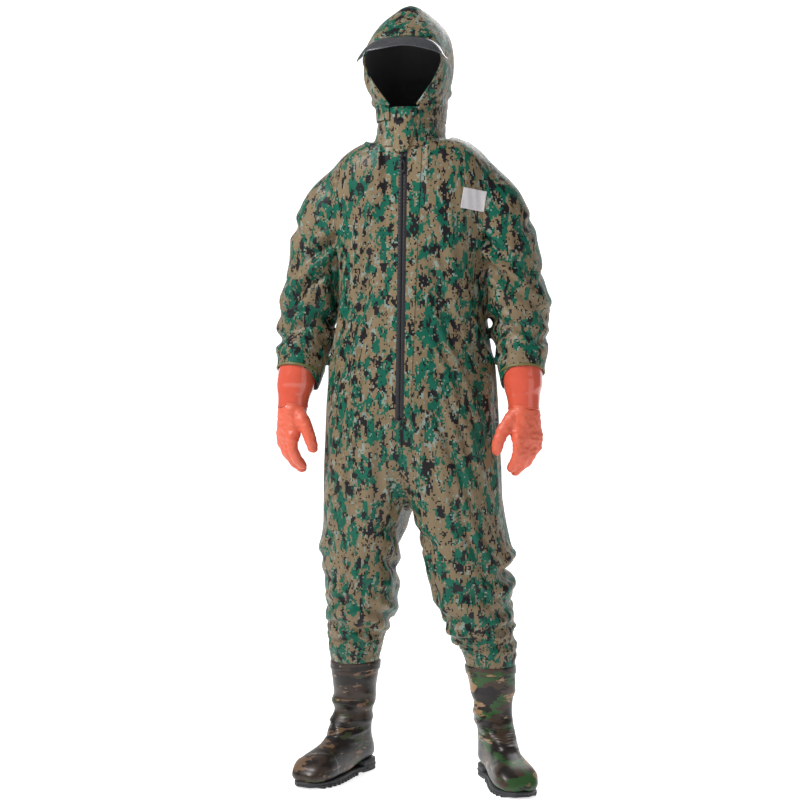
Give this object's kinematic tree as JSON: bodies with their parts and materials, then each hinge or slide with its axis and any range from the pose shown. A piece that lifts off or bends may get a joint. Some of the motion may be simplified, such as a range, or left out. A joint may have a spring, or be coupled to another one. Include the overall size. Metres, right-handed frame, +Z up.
{
  "type": "hooded chest waders",
  "caption": "Full-body hooded fishing waders of coated camouflage fabric, with front zip, chin flap, clear brim, welded gloves and rubber boots.",
  "frame": {"origin": "under the middle of the bounding box, on the floor the boots stand on", "axes": "+Z up, the suit faces -Y, and +X is to the wearer's left"},
  "size_m": [0.6282, 0.3232, 1.7673],
  "materials": {
    "camo_fabric": "semi-gloss coated",
    "boot_rubber": "satin",
    "boot_sole": "matt",
    "insole_foam": "matt",
    "glove_knit": "matt",
    "glove_vinyl": "satin",
    "gauntlet_vinyl": "gloss",
    "clear_brim": "clear",
    "grey_lining": "matt",
    "hem_band": "satin",
    "white_label": "matt",
    "snap_steel": "satin",
    "black_metal": "satin",
    "zip_black": "satin"
  },
  "bodies": {
    "suit": {"back_panel_left": "camo_fabric", "back_panel_right": "camo_fabric", "chest_label": "white_label", "collar": "camo_fabric", "elbow_fold_left": "camo_fabric", "elbow_fold_right": "camo_fabric", "front_panel_left": "camo_fabric", "front_panel_right": "camo_fabric", "hood_neck_fold": "camo_fabric", "knee_fold_left": "camo_fabric", "knee_fold_right": "camo_fabric", "placket_left": "camo_fabric", "placket_right": "camo_fabric", "sleeve_upper_left": "camo_fabric", "sleeve_upper_right": "camo_fabric", "snap_base": "snap_steel", "snap_stud": "snap_steel", "thigh_left": "camo_fabric", "thigh_right": "camo_fabric", "zip_bottom_stop": "black_metal", "zip_chain": "zip_black", "zip_tape_left": "zip_black", "zip_tape_right": "zip_black", "zip_top_stop": "black_metal"},
    "hood": {"hood_panel_left": "camo_fabric", "hood_panel_right": "camo_fabric", "face_edge_binding": "grey_lining", "hood_brim": "clear_brim"},
    "zip_slider": {"zip_slider": "black_metal"},
    "zip_pull": {"zip_pull": "zip_black"},
    "chin_flap": {"chin_flap": "camo_fabric", "snap_cap": "black_metal", "snap_socket": "black_metal"},
    "forearm_left": {"sleeve_lower_left": "camo_fabric", "cuff_hem_left": "hem_band", "gauntlet_left": "gauntlet_vinyl", "glove_left": "glove_vinyl", "glove_liner_left": "glove_knit"},
    "shin_left": {"shin_left": "camo_fabric", "boot_shaft_left": "boot_rubber", "boot_foot_left": "boot_rubber", "boot_sole_left": "boot_sole", "boot_heel_left": "boot_sole", "insole_left": "insole_foam", "boot_band_left": "boot_rubber"},
    "forearm_right": {"sleeve_lower_right": "camo_fabric", "cuff_hem_right": "hem_band", "gauntlet_right": "gauntlet_vinyl", "glove_right": "glove_vinyl", "glove_liner_right": "glove_knit"},
    "shin_right": {"shin_right": "camo_fabric", "boot_shaft_right": "boot_rubber", "boot_foot_right": "boot_rubber", "boot_sole_right": "boot_sole", "boot_heel_right": "boot_sole", "insole_right": "insole_foam", "boot_band_right": "boot_rubber"}
  },
  "joints": [
    {"name": "zip_slide", "type": "slide", "parent": "suit", "child": "zip_slider", "axis": [0, -0.0698, -0.9976], "range_m": [0, 0.555]},
    {"name": "pull_swing", "type": "hinge", "parent": "zip_slider", "child": "zip_pull", "pos_m": [0, -0.07901, 1.41825], "axis": [-1, 0, 0], "range_deg": [0, 150]},
    {"name": "chin_flap_open", "type": "hinge", "parent": "suit", "child": "chin_flap", "pos_m": [0.026, -0.07527, 1.463], "axis": [0, -0.1138, 0.9935], "range_deg": [0, 110]},
    {"name": "hood_tip", "type": "hinge", "parent": "suit", "child": "hood", "pos_m": [0, -0.08087, 1.531], "axis": [-1, 0, 0], "range_deg": [0, 25], "deforming": ["hood_neck_fold"]},
    {"name": "elbow_left", "type": "hinge", "parent": "suit", "child": "forearm_left", "pos_m": [0.248, 0.03513, 1.09], "axis": [-1, 0, 0], "range_deg": [0, 85], "deforming": ["elbow_fold_left"]},
    {"name": "elbow_right", "type": "hinge", "parent": "suit", "child": "forearm_right", "pos_m": [-0.248, 0.03513, 1.09], "axis": [-1, 0, 0], "range_deg": [0, 85], "deforming": ["elbow_fold_right"]},
    {"name": "knee_left", "type": "hinge", "parent": "suit", "child": "shin_left", "pos_m": [0.134, 0.02513, 0.475], "axis": [1, 0, 0], "range_deg": [0, 80], "deforming": ["knee_fold_left"]},
    {"name": "knee_right", "type": "hinge", "parent": "suit", "child": "shin_right", "pos_m": [-0.121, 0.02513, 0.475], "axis": [1, 0, 0], "range_deg": [0, 80], "deforming": ["knee_fold_right"]}
  ]
}
